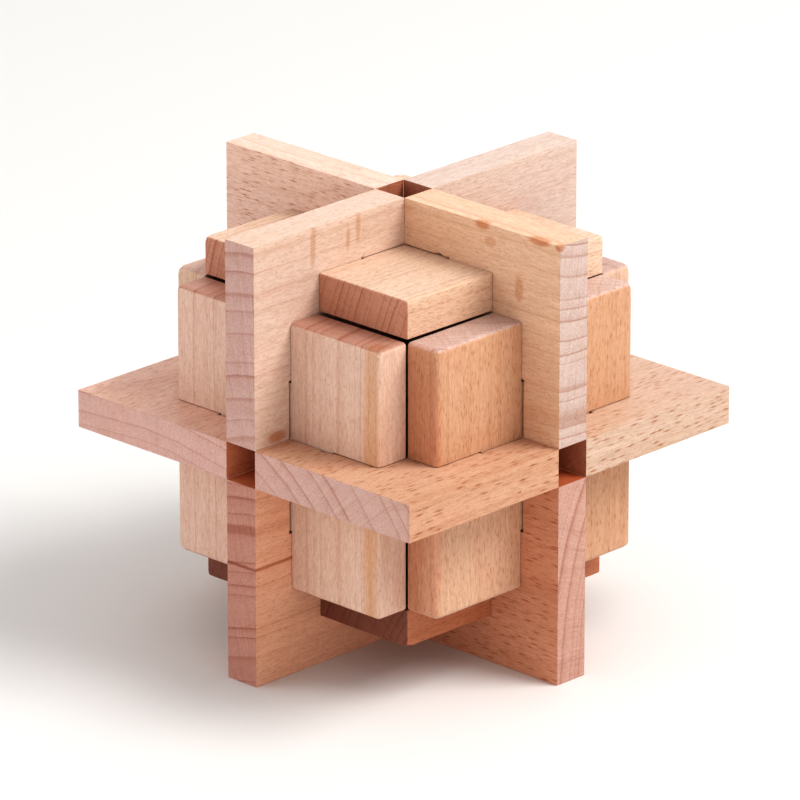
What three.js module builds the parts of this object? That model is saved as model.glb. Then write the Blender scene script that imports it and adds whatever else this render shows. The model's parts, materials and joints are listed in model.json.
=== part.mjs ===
// A burr puzzle of eighteen flat pieces of beech: six square boards, one facing each way out
// from the middle, and twelve square plates, four in each of three planes that cross there.
// Every plate joins two boards that meet at a right angle, with a square half-lap into each.
// Millimetres, +Z up. The origin is on the surface that the puzzle stands on, below its middle.
import * as THREE from "three";

// Driving dimensions.
const THICKNESS = 8;                 // of every piece
const FIT_GAP = 0.4;                 // left between faces that slide on each other
const BOARD_HALF = 28;               // half the side of a square board
const BOARD_CLEARANCE = 0.4;         // from a board's edge to the inner face of the board across it
const PLATE_REACH = 46.5;            // from the middle of the puzzle to a plate's outer edge
const LAP_MIDDLE = 16;               // from the middle to where a notch and its slot meet

// Dimensions that follow from them.
const HALF_THICKNESS = THICKNESS / 2;
const CUT_HALF = HALF_THICKNESS + FIT_GAP;          // half the width of every notch and slot
const PLATE_INNER = CUT_HALF;                       // a plate's inner edges clear the next plane
const BOARD_MIDDLE = BOARD_HALF + BOARD_CLEARANCE + HALF_THICKNESS;   // a board's middle layer
const SLOT_END = LAP_MIDDLE - FIT_GAP / 2;          // how near the middle a board's slot comes
const NOTCH_END = LAP_MIDDLE + FIT_GAP / 2;         // how far out a plate's notch reaches

const NO_GLOSS = 0;
const WOOD_ROUGHNESS = 0.62;

// Beech tones, from the palest piece to the darkest.
const PALE_BEECH = 0xe8c3a0;
const WARM_BEECH = 0xdfae85;
const PINK_BEECH = 0xdcae90;
const BROWN_BEECH = 0xc08c64;

// Which way each board faces out from the middle.
const BOARDS = [
  { name: "board_front", out: [0, -1, 0], color: PALE_BEECH },
  { name: "board_back", out: [0, 1, 0], color: PINK_BEECH },
  { name: "board_left", out: [-1, 0, 0], color: PALE_BEECH },
  { name: "board_right", out: [1, 0, 0], color: WARM_BEECH },
  { name: "board_top", out: [0, 0, 1], color: WARM_BEECH },
  { name: "board_bottom", out: [0, 0, -1], color: BROWN_BEECH },
];

// The two ways out from the middle that each plate's outer corner points.
const PLATES = [
  { name: "plate_front_upper", first: [0, -1, 0], second: [0, 0, 1], color: PALE_BEECH },
  { name: "plate_front_lower", first: [0, -1, 0], second: [0, 0, -1], color: WARM_BEECH },
  { name: "plate_back_upper", first: [0, 1, 0], second: [0, 0, 1], color: PINK_BEECH },
  { name: "plate_back_lower", first: [0, 1, 0], second: [0, 0, -1], color: PINK_BEECH },
  { name: "plate_right_upper", first: [1, 0, 0], second: [0, 0, 1], color: WARM_BEECH },
  { name: "plate_right_lower", first: [1, 0, 0], second: [0, 0, -1], color: PINK_BEECH },
  { name: "plate_left_upper", first: [-1, 0, 0], second: [0, 0, 1], color: WARM_BEECH },
  { name: "plate_left_lower", first: [-1, 0, 0], second: [0, 0, -1], color: PINK_BEECH },
  { name: "plate_front_right", first: [1, 0, 0], second: [0, -1, 0], color: WARM_BEECH },
  { name: "plate_front_left", first: [-1, 0, 0], second: [0, -1, 0], color: PINK_BEECH },
  { name: "plate_back_right", first: [1, 0, 0], second: [0, 1, 0], color: WARM_BEECH },
  { name: "plate_back_left", first: [-1, 0, 0], second: [0, 1, 0], color: PINK_BEECH },
];

function beech(color) {
  return new THREE.MeshStandardMaterial({ color, roughness: WOOD_ROUGHNESS, metalness: NO_GLOSS });
}

// Cuts an outline from the stock, with the cut piece's middle layer on the XY plane.
function cutFromStock(outline) {
  const geometry = new THREE.ExtrudeGeometry(outline, { depth: THICKNESS, bevelEnabled: false });
  geometry.translate(0, 0, -HALF_THICKNESS);
  return geometry;
}

// A square about the origin, with a slot running in from the middle of each side.
function boardOutline() {
  const slottedSide = [
    [-BOARD_HALF, -BOARD_HALF],
    [-CUT_HALF, -BOARD_HALF],
    [-CUT_HALF, -SLOT_END],
    [CUT_HALF, -SLOT_END],
    [CUT_HALF, -BOARD_HALF],
  ];
  const points = [];
  for (let side = 0; side < 4; side += 1) {
    const turn = side * Math.PI / 2;
    for (const [x, y] of slottedSide) {
      points.push(new THREE.Vector2(x, y).rotateAround(new THREE.Vector2(), turn));
    }
  }
  return new THREE.Shape(points);
}

// A square in the quarter where x and y are positive. The notch for the board across the X axis
// opens in its lower edge, and the notch for the board across the Y axis in its left edge.
function plateOutline() {
  const notchNear = BOARD_MIDDLE - CUT_HALF;
  const notchFar = BOARD_MIDDLE + CUT_HALF;
  const lowerEdge = [
    [PLATE_INNER, PLATE_INNER],
    [notchNear, PLATE_INNER],
    [notchNear, NOTCH_END],
    [notchFar, NOTCH_END],
    [notchFar, PLATE_INNER],
    [PLATE_REACH, PLATE_INNER],
  ];
  const corner = [PLATE_REACH, PLATE_REACH];
  const leftEdge = lowerEdge.slice(1).reverse().map(([x, y]) => [y, x]);
  const points = [...lowerEdge, corner, ...leftEdge].map(([x, y]) => new THREE.Vector2(x, y));
  return new THREE.Shape(points);
}

// Stands a board across the way it faces, at its distance from the middle.
function makeBoard({ name, out, color }) {
  const outward = new THREE.Vector3(...out);
  const mesh = new THREE.Mesh(cutFromStock(boardOutline()), beech(color));
  mesh.name = name;
  mesh.quaternion.setFromUnitVectors(new THREE.Vector3(0, 0, 1), outward);
  mesh.position.copy(outward).multiplyScalar(BOARD_MIDDLE);
  return mesh;
}

// Turns a plate so that its own X and Y edges run the two ways that its corner points.
function makePlate({ name, first, second, color }) {
  const alongX = new THREE.Vector3(...first);
  const alongY = new THREE.Vector3(...second);
  const normal = alongX.clone().cross(alongY);
  const mesh = new THREE.Mesh(cutFromStock(plateOutline()), beech(color));
  mesh.name = name;
  mesh.quaternion.setFromRotationMatrix(new THREE.Matrix4().makeBasis(alongX, alongY, normal));
  return mesh;
}

const puzzle = new THREE.Group();
puzzle.position.z = PLATE_REACH;
puzzle.add(...BOARDS.map(makeBoard), ...PLATES.map(makePlate));

export default puzzle;
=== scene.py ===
import json
import math
import random

import bmesh
import bpy
import numpy as np
from mathutils import Euler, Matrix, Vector, noise

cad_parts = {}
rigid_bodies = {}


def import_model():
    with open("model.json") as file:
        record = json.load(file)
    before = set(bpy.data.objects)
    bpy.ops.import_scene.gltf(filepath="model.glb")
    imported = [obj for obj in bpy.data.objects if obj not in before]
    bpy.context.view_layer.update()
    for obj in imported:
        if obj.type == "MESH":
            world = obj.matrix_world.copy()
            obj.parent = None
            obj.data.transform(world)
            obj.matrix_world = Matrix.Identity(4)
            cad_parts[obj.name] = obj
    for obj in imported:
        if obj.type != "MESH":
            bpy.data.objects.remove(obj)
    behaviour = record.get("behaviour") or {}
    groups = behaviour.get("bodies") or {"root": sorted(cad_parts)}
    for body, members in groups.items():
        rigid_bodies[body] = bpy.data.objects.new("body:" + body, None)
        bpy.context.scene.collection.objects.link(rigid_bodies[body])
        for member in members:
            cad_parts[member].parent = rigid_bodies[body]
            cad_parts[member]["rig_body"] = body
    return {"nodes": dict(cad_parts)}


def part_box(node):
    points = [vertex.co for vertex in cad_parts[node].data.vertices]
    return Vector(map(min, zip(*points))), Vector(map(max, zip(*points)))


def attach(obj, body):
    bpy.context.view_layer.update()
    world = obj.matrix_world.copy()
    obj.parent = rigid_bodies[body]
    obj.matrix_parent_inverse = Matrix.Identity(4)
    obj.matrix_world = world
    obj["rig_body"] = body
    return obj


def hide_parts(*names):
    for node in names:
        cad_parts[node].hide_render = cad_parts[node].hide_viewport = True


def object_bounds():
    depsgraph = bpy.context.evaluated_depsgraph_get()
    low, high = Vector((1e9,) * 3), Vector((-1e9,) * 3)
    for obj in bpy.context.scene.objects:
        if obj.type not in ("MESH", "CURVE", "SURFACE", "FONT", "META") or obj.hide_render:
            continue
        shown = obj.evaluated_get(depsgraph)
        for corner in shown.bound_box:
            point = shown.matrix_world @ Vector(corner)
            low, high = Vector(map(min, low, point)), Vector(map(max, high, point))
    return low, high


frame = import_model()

MM = 0.001
WELD = 0.01 * MM                 # points nearer than this are one
X, Y, Z = Vector((1, 0, 0)), Vector((0, 1, 0)), Vector((0, 0, 1))
CAD_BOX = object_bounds()


def middle_of(box):
    return (Vector(box[0]) + Vector(box[1])) / 2


PUZZLE_MIDDLE = middle_of(CAD_BOX)


# ---------------------------------------------------------------- camera

CAMERA_AZIMUTH = math.radians(44.1)
CAMERA_ELEVATION = math.radians(20.4)
CAMERA_DISTANCE = 1.6
CAMERA_LENS_MM = 356.4
SENSOR_MM = 36
AIM_RIGHT = -0.8 * MM            # from the puzzle's middle
AIM_UP = 1.3 * MM


def add_camera():
    level = Vector((math.sin(CAMERA_AZIMUTH), -math.cos(CAMERA_AZIMUTH), 0))
    towards = level * math.cos(CAMERA_ELEVATION) + Z * math.sin(CAMERA_ELEVATION)
    right = Z.cross(towards).normalized()
    up = towards.cross(right)
    data = bpy.data.cameras.new("camera")
    data.lens = CAMERA_LENS_MM
    data.sensor_width = SENSOR_MM
    camera = bpy.data.objects.new("camera", data)
    camera.location = PUZZLE_MIDDLE + right * AIM_RIGHT + up * AIM_UP + towards * CAMERA_DISTANCE
    camera.rotation_euler = towards.to_track_quat("Z", "Y").to_euler()
    bpy.context.scene.collection.objects.link(camera)
    bpy.context.scene.camera = camera


# ---------------------------------------------------------------- floor and light

FLOOR_SIZE = 8
FLOOR_WHITE = (0.79, 0.785, 0.78, 1)
FLOOR_ROUGHNESS = 0.9
ROOM_WHITE = (1, 0.99, 0.98, 1)
ROOM_STRENGTH = 0.48
CONTRAST = "High Contrast"       # of the camera's picture

# Soft boxes: where each one hangs from the puzzle's middle, its distance, sides, watts and colour.
SOFT_BOXES = {
    "key": dict(hangs=Vector((0.60, 0.34, 0.82)), away=1.0, sides=(0.5, 0.5), watts=6.0,
                color=(1, 0.985, 0.96)),
    "fill": dict(hangs=Vector((-0.55, -0.75, 0.35)), away=1.0, sides=(0.7, 0.7), watts=1.6,
                 color=(1, 0.98, 0.97)),
    "low": dict(hangs=Vector((0.75, -0.66, 0.12)), away=1.2, sides=(0.9, 0.25), watts=1.15,
                color=(1, 0.99, 0.97)),
    "back": dict(hangs=Vector((-0.55, 0.75, 0.40)), away=1.4, sides=(1.2, 0.4), watts=2.0,
                 color=(1, 1, 1)),
}


def add_floor():
    bpy.ops.mesh.primitive_plane_add(size=FLOOR_SIZE)
    floor = bpy.context.object
    floor.name = "floor"
    material = bpy.data.materials.new("floor_white")
    material.use_nodes = True
    shader = material.node_tree.nodes["Principled BSDF"]
    shader.inputs["Base Color"].default_value = FLOOR_WHITE
    shader.inputs["Roughness"].default_value = FLOOR_ROUGHNESS
    floor.data.materials.append(material)


def add_light():
    world = bpy.data.worlds.new("room")
    world.use_nodes = True
    background = world.node_tree.nodes["Background"]
    background.inputs["Color"].default_value = ROOM_WHITE
    background.inputs["Strength"].default_value = ROOM_STRENGTH
    bpy.context.scene.world = world
    for name, box in SOFT_BOXES.items():
        data = bpy.data.lights.new(name, "AREA")
        data.shape = "RECTANGLE"
        data.size, data.size_y = box["sides"]
        data.energy = box["watts"]
        data.color = box["color"]
        light = bpy.data.objects.new(name, data)
        light.location = PUZZLE_MIDDLE + box["hangs"].normalized() * box["away"]
        light.rotation_euler = box["hangs"].to_track_quat("Z", "Y").to_euler()
        bpy.context.scene.collection.objects.link(light)
    picture = bpy.context.scene.view_settings
    picture.view_transform = "Standard"
    picture.look = CONTRAST


# ---------------------------------------------------------------- beech

class Tree:
    """Short forms for building the nodes of one material."""

    def __init__(self, material):
        material.use_nodes = True
        self.nodes = material.node_tree.nodes
        self.links = material.node_tree.links
        self.nodes.clear()

    def add(self, kind, inputs, **settings):
        node = self.nodes.new(kind)
        for key, value in settings.items():
            setattr(node, key, value)
        for key, value in inputs.items():
            if isinstance(value, bpy.types.NodeSocket):
                self.links.new(value, node.inputs[key])
            else:
                node.inputs[key].default_value = value
        return node

    def math(self, operation, *values):
        return self.add("ShaderNodeMath", dict(enumerate(values)), operation=operation).outputs[0]

    def vector(self, operation, *values):
        node = self.add("ShaderNodeVectorMath", dict(enumerate(values)), operation=operation)
        return node.outputs["Value" if operation in ("DOT_PRODUCT", "LENGTH") else "Vector"]

    def scale(self, vector, factor):
        inputs = {0: vector, "Scale": factor}
        return self.add("ShaderNodeVectorMath", inputs, operation="SCALE").outputs["Vector"]

    def point(self, x, y, z):
        return self.add("ShaderNodeCombineXYZ", {0: x, 1: y, 2: z}).outputs[0]

    def parts(self, vector):
        return self.add("ShaderNodeSeparateXYZ", {0: vector}).outputs

    def ramp(self, value, low, high, start=0.0, end=1.0):
        """start below low, end above high, and a smooth step between them."""
        inputs = {"Value": value, "From Min": low, "From Max": high, "To Min": start, "To Max": end}
        node = self.add("ShaderNodeMapRange", inputs, interpolation_type="SMOOTHSTEP")
        return node.outputs[0]

    def noise(self, vector, detail=2.0):
        return self.add("ShaderNodeTexNoise", {"Vector": vector, "Scale": 1.0, "Detail": detail})

    def blend(self, amount, first, second):
        """first where amount is 0, and second where it is 1."""
        inputs = {0: amount, 6: (*first, 1), 7: (*second, 1)}
        return self.add("ShaderNodeMix", inputs, data_type="RGBA").outputs[2]

    def tint(self, colour, amount, factor):
        """colour, multiplied by factor where amount is 1."""
        inputs = {0: amount, 6: colour, 7: (*factor, 1)}
        node = self.add("ShaderNodeMix", inputs, data_type="RGBA", blend_type="MULTIPLY")
        return node.outputs[2]


SEED_STEP_MM = 137               # keeps the pieces' patterns apart
WANDER_MM = 1.1                  # how far rings wander from true circles
WANDER_SPAN_MM = 24
WANDER_STRETCH = 4               # how much longer than wide its waves are
WANDER_DETAIL = 4.0

# Growth rings, in parts of a year.
PACE_RATE = 0.45                 # changes of the tree's pace in each year
PACE_SPREAD = 2.2                # how many years those shift the rings by
LINE_START = (0.72, 0.93)        # the dark line that ends a year
LINE_END = (0.955, 1.0)
HAZE_START = (0.15, 0.95)        # the faint shade before it
HAZE_DEPTH = 0.28
FAINT_YEAR = 0.45                # how strong the faintest line is

# Rays: spindles that reach out from the pith.
RAY_MM = (0.52, 4.4)             # one cell of their pattern, around the tree and along it
SHORT_RAY_MM = (0.45, 2.6)       # in the boards, whose wood is finer
RAY_CORE, RAY_EDGE = 0.14, 0.46          # share of a cell's size that a ray fills
RAY_LUCK = (0.3, 0.95)           # the cells whose rays are faint, and those whose rays are full
RAY_FACING = (0.15, 0.95)        # faces that cut rays lengthwise and across, by their slant
LONG_CUT_RAYS = 0.30             # how strong rays are where they are cut lengthwise
END_RAYS = 0.1                   # and on an end face
RAY_LINE_MM, RAY_LINE_LENGTH_MM = 0.5, 20        # the fine lines that an end face shows

# The finer grain, and the share of its noise from which each kind of patch begins and is full.
FIBRE_MM, FIBRE_LENGTH_MM, FIBRE_DETAIL = 0.32, 2.6, 3.0
PORE_MM, PORE_LENGTH_MM, PORE_DETAIL = 0.26, 0.9, 2.0
STREAK_MM, STREAK_LENGTH_MM, STREAK_DETAIL = 2.2, 40, 3.0
BLOTCH_MM, BLOTCH_LENGTH_MM, BLOTCH_DETAIL = 12, 45, 2.0
FIBRE_FROM = (0.3, 0.7)
PORE_FROM = (0.52, 0.72)
ROSY_FROM = (0.5, 0.72)
GOLDEN_FROM = (0.5, 0.28)
PALE_STREAK_FROM = (0.5, 0.75)
DARK_STREAK_FROM = (0.5, 0.25)
RAY_LINE_FROM = (0.56, 0.70)
RAY_SHINE_FROM = (0.44, 0.30)

END_FACING = (0.35, 0.8)         # from side wood to end wood, by how squarely the grain is cut
SIDE_RINGS = 0.4                 # how strong rings are on side wood, against end wood
MARK_EDGE = (0.45, 1.0)          # where a mark starts to fade and has faded, in its half sizes
MARK_RAGGEDNESS = 0.8
INNER_SHADE_WITHIN_MM = (5.2, 4.6)      # where the painted shade starts and where it is full, from the planes through the puzzle's middle
INNER_SHADE_FACING = (0.5, 0.9)         # how squarely they look at it, from no painted shade to full

# What each thing multiplies the wood's colour by.
LATE_WOOD = (0.76, 0.60, 0.53)
RAY_BROWN = (0.66, 0.43, 0.31)
RAY_LINE = (0.93, 0.89, 0.87)
RAY_SHINE = (1.07, 1.07, 1.08)
PALE_STREAK = (1.03, 1.04, 1.05)
DARK_STREAK = (0.95, 0.92, 0.89)
ROSY = (1.0, 0.96, 0.96)
GOLDEN = (1.0, 0.98, 0.95)
FIBRE_SHADE = (0.90, 0.85, 0.81)
PORE_SHADE = (0.84, 0.79, 0.75)
# sanded edges are lighter, and the lightening also paints a highlight along the edges
SANDED_EDGE_AND_HIGHLIGHT = (1.08, 1.05, 1.02)
PAINTED_INNER_SHADE = (0.80, 0.50, 0.35)        # painted shade, rust-brown, on the plates' inner faces near the middle
REDDISH = (0.94, 0.79, 0.74)
HONEYED = (0.95, 0.89, 0.84)
# painted light: lightens board_right's lower part, which lies in shade
PAINTED_LIGHT = (1.08, 1.17, 1.27)
HONEY_STRIPE = (0.92, 0.78, 0.62)
PALE_STAIN = (0.86, 0.75, 0.67)
RUST_SPOT = (0.80, 0.56, 0.42)
DARK_RING = (0.66, 0.44, 0.36)

BUMP_DEPTH = 0.05 * MM
BUMP_STRENGTH = 0.55
FIBRE_DEPTH, RAY_DEPTH, LATE_DEPTH = 0.5, 0.6, 0.35      # shares of the bump's depth
ROUGHNESS = (0.50, 0.62)         # between the fibres and on them
SPECULAR = 0.42


class SawnWood:
    """Where each point of a piece lay in its tree, in millimetres, and the patterns there."""

    def __init__(self, tree, wood, box, seed):
        self.tree = tree
        self.wood = wood
        self.seed = seed
        place = tree.add("ShaderNodeTexCoord", {}).outputs
        self.place = place["Object"]
        self.facing = place["Normal"]

        # Directions at the piece's middle: along the grain, away from the pith, and around it.
        grain = wood["grain"]
        pith = PUZZLE_MIDDLE + wood["pith"] * MM
        outward = middle_of(box) - pith
        outward = outward - grain * outward.dot(grain)
        distance_mm = outward.length / MM
        outward.normalize()
        self.grain = tuple(grain)
        self.outward = tuple(outward)
        self.around = tuple(grain.cross(outward))

        from_pith = tree.scale(tree.vector("SUBTRACT", self.place, tuple(pith)), 1 / MM)
        out = tree.vector("DOT_PRODUCT", from_pith, self.outward)
        side = tree.vector("DOT_PRODUCT", from_pith, self.around)
        along = tree.vector("DOT_PRODUCT", from_pith, self.grain)
        self.along = tree.math("ADD", along, seed * SEED_STEP_MM)
        self.drift = self.drift_from(out, side)
        drifts = tree.parts(self.drift)
        self.out = tree.math("MULTIPLY_ADD", drifts[0], 2 * WANDER_MM, out)
        self.side = tree.math("MULTIPLY_ADD", drifts[1], 2 * WANDER_MM, side)
        squares = [tree.math("MULTIPLY", part, part) for part in (self.out, self.side)]
        self.radius = tree.math("SQRT", tree.math("ADD", *squares))
        angle = tree.math("ARCTAN2", self.side, self.out)
        self.girth = tree.math("MULTIPLY", angle, distance_mm)

    def drift_from(self, out, side):
        """A slow drift between -0.5 and 0.5 each way, which leads rings off true circles."""
        tree = self.tree
        at = tree.point(
            tree.math("MULTIPLY", out, 1 / WANDER_SPAN_MM),
            tree.math("MULTIPLY", side, 1 / WANDER_SPAN_MM),
            tree.math("MULTIPLY", self.along, 1 / WANDER_SPAN_MM / WANDER_STRETCH),
        )
        cloud = tree.noise(at, WANDER_DETAIL).outputs["Color"]
        return tree.vector("SUBTRACT", cloud, (0.5, 0.5, 0.5))

    def late_wood(self):
        """Each year ends in a thin dark line, some years darker than others."""
        tree = self.tree
        ring_mm = self.wood["ring_mm"]
        pace_at = tree.math("MULTIPLY_ADD", self.radius, PACE_RATE / ring_mm, self.seed)
        inputs = {"W": pace_at, "Scale": 1.0, "Detail": 1.0}
        pace = tree.add("ShaderNodeTexNoise", inputs, noise_dimensions="1D").outputs[0]
        uneven = tree.math("MULTIPLY", pace, PACE_SPREAD)
        years = tree.math("MULTIPLY_ADD", self.radius, 1 / ring_mm, uneven)
        season = tree.math("FRACT", years)
        year = tree.math("ADD", tree.math("FLOOR", years), self.seed)
        mood = tree.add("ShaderNodeTexWhiteNoise", {"W": year}, noise_dimensions="1D").outputs[0]
        starts = tree.ramp(season, *LINE_START)
        ends = tree.ramp(season, *LINE_END, 1.0, 0.0)
        line = tree.math("MULTIPLY", starts, ends)
        haze = tree.math("MULTIPLY", tree.ramp(season, *HAZE_START), HAZE_DEPTH)
        strength = tree.ramp(mood, 0.0, 1.0, FAINT_YEAR, 1.0)
        return tree.math("MULTIPLY", tree.math("MAXIMUM", line, haze), strength)

    def rays(self):
        """Thin upright spindles that reach out from the pith."""
        tree = self.tree
        ray_girth, ray_height = self.wood.get("ray_mm", RAY_MM)
        at = tree.point(
            tree.math("DIVIDE", self.girth, ray_girth),
            tree.math("DIVIDE", self.along, ray_height),
            0.0,
        )
        cells = tree.add(
            "ShaderNodeTexVoronoi",
            {"Vector": at, "Scale": 1.0},
            voronoi_dimensions="2D",
            distance="MANHATTAN",
        ).outputs
        luck = tree.add("ShaderNodeSeparateColor", {0: cells["Color"]}).outputs[0]
        ray = tree.ramp(cells["Distance"], RAY_CORE, RAY_EDGE, 1.0, 0.0)
        return tree.math("MULTIPLY", ray, tree.ramp(luck, *RAY_LUCK))

    def ray_lines(self):
        """The rays as an end face shows them, as fine lines out from the pith."""
        tree = self.tree
        at = tree.point(
            tree.math("DIVIDE", self.girth, RAY_LINE_MM),
            tree.math("DIVIDE", self.radius, RAY_LINE_LENGTH_MM),
            tree.math("DIVIDE", self.along, self.wood.get("ray_mm", RAY_MM)[1]),
        )
        return tree.noise(at).outputs[0]

    def drawn_out(self, width_mm, length_mm, detail):
        """Noise that is drawn out along the grain."""
        tree = self.tree
        at = tree.point(
            tree.math("DIVIDE", self.out, width_mm),
            tree.math("DIVIDE", self.side, width_mm),
            tree.math("DIVIDE", self.along, length_mm),
        )
        return tree.noise(at, detail).outputs[0]

    def end_face(self):
        """1 on a face across the grain, and 0 on one along it."""
        tree = self.tree
        across = tree.math("ABSOLUTE", tree.vector("DOT_PRODUCT", self.facing, self.grain))
        return tree.ramp(across, *END_FACING)

    def facing_pith(self):
        """1 on a face that looks at the pith or away from it, and 0 on one at right angles."""
        tree = self.tree
        sideways = tree.math("MULTIPLY", tree.vector("DOT_PRODUCT", self.facing, self.around),
                             self.side)
        straight = tree.vector("DOT_PRODUCT", self.facing, self.outward)
        towards = tree.math("MULTIPLY_ADD", straight, self.out, sideways)
        return tree.math("ABSOLUTE", tree.math("DIVIDE", towards, self.radius))

    def marked(self, colour, streak):
        """colour with the piece's marks, whose outlines wander and are ragged along the streaks."""
        tree = self.tree
        wandering = tree.vector("ADD", self.place, tree.scale(self.drift, 2 * WANDER_MM * MM))
        for at_mm, half_mm, shade in self.wood.get("marks", ()):
            off = tree.vector("SUBTRACT", wandering, tuple(PUZZLE_MIDDLE + Vector(at_mm) * MM))
            off = tree.vector("DIVIDE", off, tuple(Vector(half_mm) * MM))
            reach = tree.math("ADD", tree.vector("LENGTH", off), MARK_RAGGEDNESS / 2)
            reach = tree.math("MULTIPLY_ADD", streak, -MARK_RAGGEDNESS, reach)
            colour = tree.tint(colour, tree.ramp(reach, *MARK_EDGE, 1.0, 0.0), shade)
        return colour


def inner_shade_mask(sawn, box):
    """1 on the edges of a plate that look at the puzzle's middle, where shade is painted, and 0
    elsewhere.
    """
    tree = sawn.tree
    low, high = box
    centre = middle_of(box)
    sides = high - low
    in_plane = [axis for axis in range(3) if sides[axis] > min(sides) + WELD]
    from_middle = tree.scale(tree.vector("SUBTRACT", sawn.place, tuple(PUZZLE_MIDDLE)), 1 / MM)
    reach = tree.parts(tree.vector("ABSOLUTE", from_middle))
    nearest = tree.math("MINIMUM", *[reach[axis] for axis in in_plane])
    outwards = centre - PUZZLE_MIDDLE
    inwards = tuple(-math.copysign(1, outwards[axis]) * (axis in in_plane) for axis in range(3))
    faces_in = tree.ramp(tree.vector("DOT_PRODUCT", sawn.facing, inwards), *INNER_SHADE_FACING)
    return tree.math("MULTIPLY", faces_in, tree.ramp(nearest, *INNER_SHADE_WITHIN_MM))


def beech(name, wood, box, seed):
    """Solid beech. wood says how the piece was sawn and coloured; box is the piece's own."""
    material = bpy.data.materials.new("beech_" + name)
    tree = Tree(material)
    sawn = SawnWood(tree, wood, box, seed)
    late = sawn.late_wood()
    ray = sawn.rays()
    lines = sawn.ray_lines()
    end = sawn.end_face()
    fibre = tree.ramp(sawn.drawn_out(FIBRE_MM, FIBRE_LENGTH_MM, FIBRE_DETAIL), *FIBRE_FROM)
    pore = tree.ramp(sawn.drawn_out(PORE_MM, PORE_LENGTH_MM, PORE_DETAIL), *PORE_FROM)
    streak = sawn.drawn_out(STREAK_MM, STREAK_LENGTH_MM, STREAK_DETAIL)
    blotch = sawn.drawn_out(BLOTCH_MM, BLOTCH_LENGTH_MM, BLOTCH_DETAIL)

    colour = tree.blend(end, wood["side"], wood["end"])
    colour = tree.tint(colour, tree.ramp(blotch, *ROSY_FROM), ROSY)
    colour = tree.tint(colour, tree.ramp(blotch, *GOLDEN_FROM), GOLDEN)
    colour = tree.tint(colour, tree.ramp(streak, *PALE_STREAK_FROM), PALE_STREAK)
    colour = tree.tint(colour, tree.ramp(streak, *DARK_STREAK_FROM), DARK_STREAK)
    colour = tree.tint(colour, fibre, FIBRE_SHADE)
    colour = tree.tint(colour, pore, PORE_SHADE)
    ring_depth = tree.ramp(end, 0.0, 1.0, SIDE_RINGS * wood["rings"], wood["rings"])
    colour = tree.tint(colour, tree.math("MULTIPLY", late, ring_depth), LATE_WOOD)
    long_cut = LONG_CUT_RAYS * wood["rays"]
    ray_depth = tree.ramp(sawn.facing_pith(), *RAY_FACING, long_cut, wood["rays"])
    ray_depth = tree.math("MULTIPLY", ray_depth, tree.ramp(end, 0.0, 1.0, 1.0, END_RAYS))
    colour = tree.tint(colour, tree.math("MULTIPLY", ray, ray_depth), RAY_BROWN)
    for limits, shade in ((RAY_LINE_FROM, RAY_LINE), (RAY_SHINE_FROM, RAY_SHINE)):
        colour = tree.tint(colour, tree.math("MULTIPLY", end, tree.ramp(lines, *limits)), shade)
    colour = sawn.marked(colour, streak)
    # painted shade, rust-brown, on the plates' inner faces near the puzzle's middle
    if name.startswith("plate"):
        colour = tree.tint(colour, inner_shade_mask(sawn, box), PAINTED_INNER_SHADE)
    # lighter on the rounded edges: sanded wood, and a painted highlight
    worn_and_highlit = tree.add("ShaderNodeAttribute", {}, attribute_name="worn_and_highlit").outputs["Fac"]
    colour = tree.tint(colour, worn_and_highlit, SANDED_EDGE_AND_HIGHLIGHT)

    height = tree.math("MULTIPLY_ADD", fibre, -FIBRE_DEPTH, tree.math("MULTIPLY", ray, -RAY_DEPTH))
    height = tree.math("MULTIPLY_ADD", late, -LATE_DEPTH, height)
    relief = {"Height": height, "Distance": BUMP_DEPTH, "Strength": BUMP_STRENGTH}
    shader = tree.add("ShaderNodeBsdfPrincipled", {
        "Base Color": colour,
        "Roughness": tree.ramp(fibre, 0.0, 1.0, *ROUGHNESS),
        "Specular IOR Level": SPECULAR,
        "Normal": tree.add("ShaderNodeBump", relief).outputs[0],
    })
    tree.add("ShaderNodeOutputMaterial", {0: shader.outputs[0]})
    return material
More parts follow.
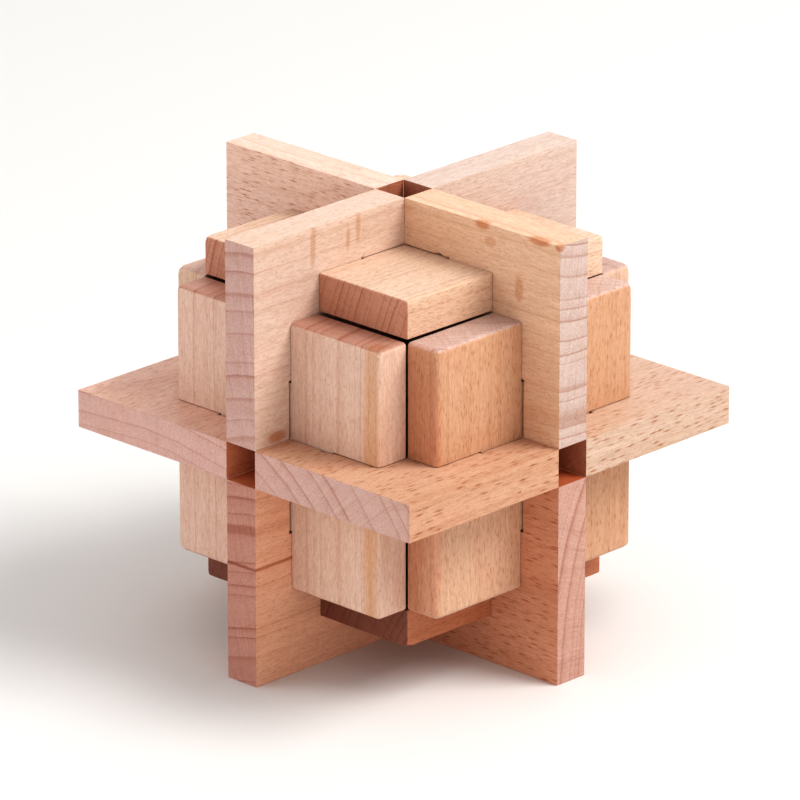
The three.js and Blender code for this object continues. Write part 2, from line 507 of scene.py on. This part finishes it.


# ---------------------------------------------------------------- how each piece was sawn

# side and end are the colours along the grain and across it; rings and rays, how strongly those
# show. The pith's place is in millimetres from the puzzle's middle, and its part along the grain
# is unused. A mark multiplies the colour in a spot: its place, its half sizes in millimetres and
# its shade. The paler mark on board_right's lower part is painted light.
WOODS = {
    "plate_front_upper": dict(
        grain=Y, pith=Vector((10, 0, -28)), ring_mm=4.4, rings=1.0, rays=0.2, slot="pale_beech",
        side=(0.733, 0.569, 0.481), end=(0.627, 0.43, 0.391),
        marks=[
            ((4, -40.2, 5.3), (2, 3.6, 1.5), RUST_SPOT),
            ((4, -30, 43), (2, 1.1, 5.5), PALE_STAIN),
            ((4, -20.2, 42), (2, 0.8, 3.4), PALE_STAIN),
            ((4, -17.4, 43.4), (2, 1.0, 4.2), PALE_STAIN),
        ],
    ),
    "plate_front_lower": dict(
        grain=Y, pith=Vector((24, 0, -145)), ring_mm=3.7, rings=1.3, rays=0.15, slot="warm_beech",
        side=(0.84, 0.495, 0.347), end=(0.547, 0.293, 0.239),
        marks=[((0, -30, -21.6), (40, 40, 0.55), DARK_RING)],
    ),
    "plate_back_upper": dict(
        grain=Y, pith=Vector((-70, 0, -20)), ring_mm=3.0, rings=0.6, rays=0.25, slot="pink_beech",
        side=(0.69, 0.563, 0.505), end=(0.66, 0.5, 0.46),
    ),
    "plate_back_lower": dict(
        grain=Y, pith=Vector((60, 0, -70)), ring_mm=2.6, rings=0.9, rays=0.8, slot="pink_beech",
        side=(0.726, 0.5, 0.38), end=(0.6, 0.4, 0.34),
    ),
    "plate_right_upper": dict(
        grain=X, pith=Vector((0, 5, 67)), ring_mm=3.2, rings=1.15, rays=0.12, slot="warm_beech",
        side=(0.8, 0.564, 0.412), end=(0.625, 0.498, 0.458),
        marks=[
            ((25.4, -4, 46), (2.6, 2.2, 1.5), RUST_SPOT),
            ((27.6, -4, 42.8), (1.9, 2, 1.3), PALE_STAIN),
            ((40.6, -4, 46.2), (3.6, 2.4, 1.6), RUST_SPOT),
            ((46, -4, 46.1), (1.3, 2, 1.4), RUST_SPOT),
            ((35.4, -4, 35), (1.4, 2, 3.6), PALE_STAIN),
        ],
    ),
    "plate_right_lower": dict(
        grain=X, pith=Vector((0, 88, -48)), ring_mm=2.3, rings=0.9, rays=1.0, slot="pink_beech",
        side=(0.675, 0.34, 0.22), end=(0.589, 0.372, 0.313),
    ),
    "plate_left_upper": dict(
        grain=X, pith=Vector((0, 80, 40)), ring_mm=3.0, rings=0.6, rays=0.85, slot="warm_beech",
        side=(0.848, 0.623, 0.53), end=(0.67, 0.47, 0.42),
    ),
    "plate_left_lower": dict(
        grain=X, pith=Vector((0, -60, -90)), ring_mm=3.4, rings=0.9, rays=0.8, slot="pink_beech",
        side=(0.726, 0.5, 0.38), end=(0.6, 0.4, 0.34),
    ),
    "plate_front_right": dict(
        grain=Y, pith=Vector((-25, 0, -50)), ring_mm=3.9, rings=0.9, rays=1.0, slot="warm_beech",
        side=(0.669, 0.434, 0.312), end=(0.66, 0.455, 0.409),
        marks=[((46.5, -25, 0), (1.5, 60, 12), HONEYED)],
    ),
    "plate_front_left": dict(
        grain=Y, pith=Vector((-30, 0, -120)), ring_mm=2.9, rings=0.8, rays=0.6, slot="pink_beech",
        side=(0.861, 0.586, 0.49), end=(0.7, 0.47, 0.43),
    ),
    "plate_back_right": dict(
        grain=Y, pith=Vector((-45, 0, -75)), ring_mm=2.8, rings=0.6, rays=0.95, slot="warm_beech",
        side=(0.653, 0.488, 0.389), end=(0.62, 0.45, 0.39),
    ),
    "plate_back_left": dict(
        grain=Y, pith=Vector((20, 0, -90)), ring_mm=3.1, rings=0.9, rays=0.7, slot="pink_beech",
        side=(0.726, 0.52, 0.41), end=(0.62, 0.42, 0.37),
    ),
    "board_front": dict(
        grain=Z, pith=Vector((105, -20, 0)), ring_mm=3.1, rings=1.2, rays=0.3, ray_mm=SHORT_RAY_MM,
        slot="pale_beech",
        side=(0.764, 0.565, 0.473), end=(0.54, 0.315, 0.25),
        marks=[((26, -35, 0), (3, 4, 60), HONEY_STRIPE)],
    ),
    "board_right": dict(
        grain=Z, pith=Vector((95, -60, 0)), ring_mm=1.8, rings=0.8, rays=0.62, ray_mm=SHORT_RAY_MM,
        slot="warm_beech",
        side=(0.655, 0.405, 0.268), end=(0.65, 0.5, 0.456),
        marks=[
            ((32.4, -28.4, 0), (9, 2.4, 60), REDDISH),
            # painted light on board_right's lower part, where shade falls
            ((36.4, -16, -20), (6, 40, 24), PAINTED_LIGHT),
        ],
    ),
    "board_left": dict(
        grain=Z, pith=Vector((-95, -60, 0)), ring_mm=2.4, rings=0.6, rays=0.45, ray_mm=SHORT_RAY_MM,
        slot="pale_beech",
        side=(0.74, 0.56, 0.44), end=(0.7, 0.5, 0.43),
    ),
    "board_back": dict(
        grain=Z, pith=Vector((20, 110, 0)), ring_mm=2.4, rings=0.7, rays=0.8, ray_mm=SHORT_RAY_MM,
        slot="pink_beech",
        side=(0.726, 0.532, 0.418), end=(0.6, 0.44, 0.4),
    ),
    "board_top": dict(
        grain=Y, pith=Vector((104, 0, 0)), ring_mm=1.7, rings=1.3, rays=0.6, ray_mm=SHORT_RAY_MM,
        slot="warm_beech",
        side=(0.777, 0.602, 0.483), end=(0.601, 0.32, 0.228),
        marks=[((28.4, -16, 32.4), (1.8, 40, 12), HONEYED)],
    ),
    "board_bottom": dict(
        grain=Y, pith=Vector((90, 0, -70)), ring_mm=2.6, rings=1.0, rays=0.6, ray_mm=SHORT_RAY_MM,
        slot="brown_beech",
        side=(0.55, 0.235, 0.13), end=(0.25, 0.10, 0.065),
    ),
}


# ---------------------------------------------------------------- shape of the pieces

FLAT_ANGLE = math.radians(1)
SHARP_ANGLE = math.radians(60)

# The CAD's sizes that the fit depends on, from the puzzle's middle.
THICKNESS = 8 * MM
CUT_HALF = 4.4 * MM              # to a slot's side and to a plate's inner edge
BOARD_HALF = 28 * MM             # to a board's edge
BOARD_INNER = 28.4 * MM          # to a board's inner face

# How the real pieces lie inside the CAD's slack.
BOARD_SNUG = 0.33 * MM           # how much nearer the boards' edges and slots come to neighbours
PLATE_SNUG = 0.395 * MM          # the same for the plates' inner edges
PROUD = {"board_top": (0.15 * MM, math.radians(-0.45), math.radians(-0.12))}   # up, about X and Y

BOARD_ROUND = 0.8 * MM
CRISP_BOARD_ROUND = 0.45 * MM
CRISP_BOARDS = ("board_top", "board_bottom")
PLATE_ROUND = 0.18 * MM
INNER_ROUND = 0.15 * MM          # of the edges on a board's inner face
WORN_INNER_ROUND = 0.5 * MM
WORN_INSIDE = ("board_front",)
BOARD_SLOT_ROUND = 0.15 * MM
PLATE_SLOT_ROUND = 0.03 * MM     # of the plates' inner edges
ROUND_STEPS = 3
ROUND_PROFILE = 0.5              # a circle's
GRID = 1.3 * MM                  # spacing of the points on the flat faces

FACE_WAVE = 0.05 * MM            # how uneven sanding leaves the faces
FACE_WAVE_SPAN = 11 * MM
EDGE_WEAR = 0.16 * MM            # how unevenly the edges are rubbed down
EDGE_WEAR_SPAN = 3.5 * MM
SHELTERED_WEAR = 0.05            # what is left of both in slots and on inner sides
SHELTER_DEPTH = 0.5 * MM         # how far from a board's inner face that reaches
DINGS = 7                        # on each piece
DING_RADIUS = (0.7 * MM, 1.6 * MM)
DING_DEPTH = (0.08 * MM, 0.3 * MM)
DINGED_EDGE = 0.5                # how worn a point is where a ding can be


def is_board(node):
    return node.startswith("board")


def snug_of(node):
    return BOARD_SNUG if is_board(node) else PLATE_SNUG


def radii_of(node):
    """The rounding of a piece's exposed edges, of those on its inner face and of its slots."""
    if not is_board(node):
        return PLATE_ROUND, INNER_ROUND, PLATE_SLOT_ROUND
    exposed = CRISP_BOARD_ROUND if node in CRISP_BOARDS else BOARD_ROUND
    inner = WORN_INNER_ROUND if node in WORN_INSIDE else INNER_ROUND
    return exposed, inner, BOARD_SLOT_ROUND


def fit_closely(mesh, node):
    """Takes up the CAD's slack where the real pieces nearly touch."""
    snug = snug_of(node)
    for vert in mesh.verts:
        reach = vert.co - PUZZLE_MIDDLE
        for axis in range(3):
            nudge = math.copysign(snug, reach[axis])
            if abs(abs(reach[axis]) - CUT_HALF) < WELD:
                vert.co[axis] -= nudge
            elif is_board(node) and abs(abs(reach[axis]) - BOARD_HALF) < WELD:
                vert.co[axis] += nudge


def lies_at(edge, reach):
    """Whether both ends of an edge are that far from the puzzle's middle along one axis."""
    ends = [vert.co - PUZZLE_MIDDLE for vert in edge.verts]
    return any(all(abs(abs(end[axis]) - reach) < WELD for end in ends) for axis in range(3))


def round_off(mesh, edges, radius):
    bmesh.ops.bevel(mesh, geom=edges, offset=radius, segments=ROUND_STEPS, profile=ROUND_PROFILE,
                    affect="EDGES")


def cut_into_grid(mesh, box):
    """Cuts the flat faces into small ones, so that they can be shaped."""
    low, high = box
    for axis in (X, Y, Z):
        size = (high - low).dot(axis)
        steps = round(size / GRID)
        for step in range(1, steps):
            everything = mesh.verts[:] + mesh.edges[:] + mesh.faces[:]
            cut = low + axis * (size * step / steps)
            bmesh.ops.bisect_plane(mesh, geom=everything, plane_co=cut, plane_no=axis, dist=WELD)


def rounded(cad):
    """The CAD piece, fitted closely, with rounded edges and its faces cut into a fine grid."""
    node = cad.name
    slot_reach = CUT_HALF - snug_of(node)
    radius, inner_radius, slot_radius = radii_of(node)
    mesh = bmesh.new()
    mesh.from_mesh(cad.data)
    bmesh.ops.remove_doubles(mesh, verts=mesh.verts, dist=WELD)
    bmesh.ops.dissolve_limit(mesh, angle_limit=FLAT_ANGLE, verts=mesh.verts, edges=mesh.edges)
    fit_closely(mesh, node)
    exposed = [edge for edge in mesh.edges if edge.is_convex
               and not lies_at(edge, BOARD_INNER) and not lies_at(edge, slot_reach)]
    round_off(mesh, exposed, radius)
    for reach, small_radius in ((BOARD_INNER, inner_radius), (slot_reach, slot_radius)):
        sheltered = [edge for edge in mesh.edges if lies_at(edge, reach)
                     and edge.is_convex and edge.calc_face_angle() > SHARP_ANGLE]
        round_off(mesh, sheltered, small_radius)
    cut_into_grid(mesh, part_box(node))
    return mesh


def shelter_of(places):
    """1 where a piece is exposed, and SHELTERED_WEAR in slots and on inner sides."""
    reach = np.abs(places - np.array(PUZZLE_MIDDLE))
    in_plane = np.ptp(places, axis=0) > 2 * THICKNESS
    inside = (reach[:, in_plane] < CUT_HALF).any(1)
    inside |= (np.abs(reach - BOARD_INNER) < SHELTER_DEPTH)[:, ~in_plane].any(1)
    return np.where(inside, SHELTERED_WEAR, 1)


def patchy(place, span, offset):
    """A number from 0 to 1 that changes slowly from place to place."""
    return 0.5 + noise.noise(place / span + offset) / 2


def weather(mesh, seed):
    """Wears the edges, leaves the faces as sanding does, and returns where the wood is rubbed,
    which the material lightens as sanded wood and as a painted highlight.
    """
    mesh.normal_update()
    chance = random.Random(seed)
    offset = Vector((seed, seed, seed)) * SEED_STEP_MM
    places = np.array([vert.co for vert in mesh.verts])
    normals = np.array([vert.normal for vert in mesh.verts])
    shelter = shelter_of(places)
    worn_and_highlit = 1 - np.abs(normals).max(1)
    worn_and_highlit = worn_and_highlit / worn_and_highlit.max() * shelter
    depth = np.zeros(len(places))
    for number, vert in enumerate(mesh.verts):
        depth[number] = FACE_WAVE * shelter[number] * patchy(vert.co, FACE_WAVE_SPAN, offset)
        depth[number] += EDGE_WEAR * worn_and_highlit[number] * patchy(vert.co, EDGE_WEAR_SPAN, offset)
    edges = np.flatnonzero(worn_and_highlit > DINGED_EDGE)
    for _ in range(DINGS):
        spot = places[edges[chance.randrange(len(edges))]]
        size = chance.uniform(*DING_RADIUS)
        near = np.clip(1 - np.linalg.norm(places - spot, axis=1) / size, 0, 1)
        depth += chance.uniform(*DING_DEPTH) * near ** 2
    for vert, place, normal, inward in zip(mesh.verts, places, normals, depth):
        vert.co = Vector(place - normal * inward)
    return worn_and_highlit


def stand_proud(mesh, node):
    """Lifts and tilts a loose piece within its slack."""
    lift, about_x, about_y = PROUD[node]
    turn = Euler((about_x, about_y, 0)).to_matrix()
    bmesh.ops.rotate(mesh, verts=mesh.verts, cent=middle_of(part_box(node)), matrix=turn)
    bmesh.ops.translate(mesh, verts=mesh.verts, vec=Z * lift)


def make_piece(node, seed):
    cad = frame["nodes"][node]
    wood = WOODS[node]
    mesh = rounded(cad)
    worn_and_highlit = weather(mesh, seed)
    if node in PROUD:
        stand_proud(mesh, node)
    data = bpy.data.meshes.new(node + "_wood")
    mesh.to_mesh(data)
    mesh.free()
    data.attributes.new("worn_and_highlit", "FLOAT", "POINT").data.foreach_set("value", worn_and_highlit.astype(np.float32))
    data.shade_smooth()
    piece = bpy.data.objects.new(node + "_wood", data)
    bpy.context.scene.collection.objects.link(piece)
    piece.modifiers.new("even_shading", "WEIGHTED_NORMAL")
    data.materials.append(beech(node, wood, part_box(node), seed))
    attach(piece, cad["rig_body"])
    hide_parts(node)


add_camera()
add_floor()
add_light()
for number, node in enumerate(sorted(frame["nodes"])):
    make_piece(node, number + 1)
